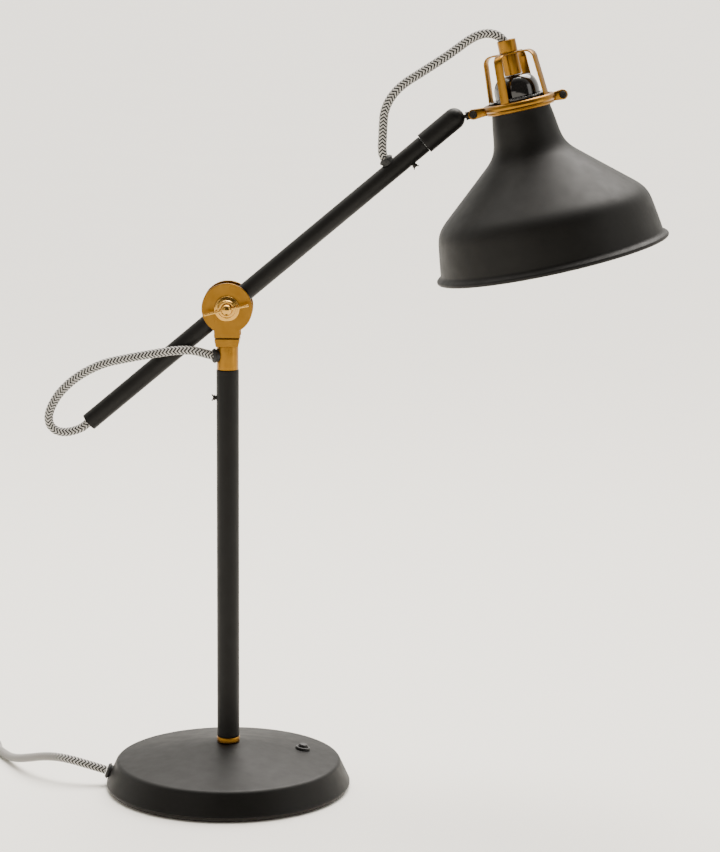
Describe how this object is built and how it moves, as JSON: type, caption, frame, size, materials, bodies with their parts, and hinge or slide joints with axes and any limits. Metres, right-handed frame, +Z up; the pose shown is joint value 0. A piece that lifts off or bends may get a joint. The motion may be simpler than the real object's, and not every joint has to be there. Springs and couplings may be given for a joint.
{
  "type": "swing arm desk lamp",
  "caption": "Desk lamp with a weighted round base, a post, a tilting arm on a brass fork and a bell shade on a ball joint, with textile cords.",
  "frame": {"origin": "on the resting surface, under the post's axis, at the centre of the base pad's underside", "axes": "+Z up along the post, +X towards the shade, +Y to the back; the arm and the head lie in the XZ plane at rest"},
  "size_m": [0.5936, 0.2307, 0.5118],
  "materials": {
    "black_powder_coat": "matt black powder coat",
    "brass": "lacquered brass plating",
    "black_screw": "blackened steel",
    "zinc_steel": "zinc plated steel",
    "cast_iron": "raw casting",
    "black_rubber": "matt rubber",
    "black_plastic": "moulded plastic",
    "bakelite": "polished moulding",
    "felt": "pressed felt",
    "nylon": "natural nylon",
    "white_glass": "opal glass",
    "textile_cord": "black and white braided textile over PVC"
  },
  "bodies": {
    "root": {"base_cover": "black_powder_coat", "post_tube": "black_powder_coat", "foot_ring": "brass", "ferrule": "brass", "fork_block": "brass", "fork_plate_front": "brass", "fork_plate_rear": "brass", "pivot_bolt": "brass", "cup_washer": "brass", "plug_pin_a": "brass", "plug_pin_b": "brass", "post_thumb_screw": "black_screw", "base_plate": "zinc_steel", "post_stud": "zinc_steel", "post_nut": "zinc_steel", "ballast": "cast_iron", "base_grommet": "black_rubber", "ferrule_grommet": "black_rubber", "coil_tie": "black_rubber", "switch_bezel": "black_plastic", "switch_body": "black_plastic", "plug_body": "black_plastic", "base_pad": "felt", "terminal_block": "nylon", "cord_clamp": "nylon", "rear_loop_cord": "textile_cord", "mains_cord": "textile_cord", "mains_coil": "textile_cord", "mains_tail": "textile_cord"},
    "arm": {"arm_tube": "black_powder_coat", "arm_grommet": "black_rubber", "arm_thumb_screw": "black_screw", "tail_bush": "black_plastic", "arm_lead": "black_rubber", "swivel_spigot": "zinc_steel", "friction_washer_front": "nylon", "friction_washer_rear": "nylon", "front_loop_lower": "textile_cord"},
    "sleeve": {"swivel_sleeve": "black_powder_coat", "ball_seat": "nylon"},
    "head": {"ball_stud": "black_screw", "collar_front": "brass", "collar_rear": "brass", "collar_screw_left": "black_screw", "collar_screw_right": "black_screw", "collar_nut_left": "zinc_steel", "collar_nut_right": "zinc_steel", "shade": "black_powder_coat", "neck_cap": "bakelite", "strap_cage": "brass", "stem_tube": "brass", "stem_collar": "brass", "lampholder_dome": "bakelite", "lampholder_body": "bakelite", "shade_ring": "bakelite", "bulb_cap": "zinc_steel", "bulb_glass": "white_glass", "front_loop_upper": "textile_cord"},
    "wing_nut": {"wing_nut": "brass"},
    "switch_button": {"switch_button": "black_plastic"}
  },
  "joints": [
    {"name": "arm_tilt", "type": "hinge", "parent": "root", "child": "arm", "pos_m": [0, 0, 0.3287], "axis": [0, 1, 0], "range_deg": [-10, 60], "deforming": ["rear_loop_cord"]},
    {"name": "head_swivel", "type": "hinge", "parent": "arm", "child": "sleeve", "pos_m": [0.14824, 0, 0.45353], "axis": [0.7649, 0, 0.6441], "range_deg": [-90, 90], "deforming": ["front_loop_lower"]},
    {"name": "head_tilt", "type": "hinge", "parent": "sleeve", "child": "head", "pos_m": [0.14824, 0, 0.45353], "axis": [0, 1, 0], "range_deg": [-27, 35], "deforming": ["front_loop_upper"]},
    {"name": "clamp_turn", "type": "hinge", "parent": "root", "child": "wing_nut", "pos_m": [0, -0.0135, 0.3287], "axis": [0, -1, 0], "range_deg": [-90, 90]},
    {"name": "switch_press", "type": "slide", "parent": "root", "child": "switch_button", "axis": [-0.161, -0.0239, -0.9867], "range_m": [0, 0.0015], "stiffness_N_per_m": 500}
  ]
}
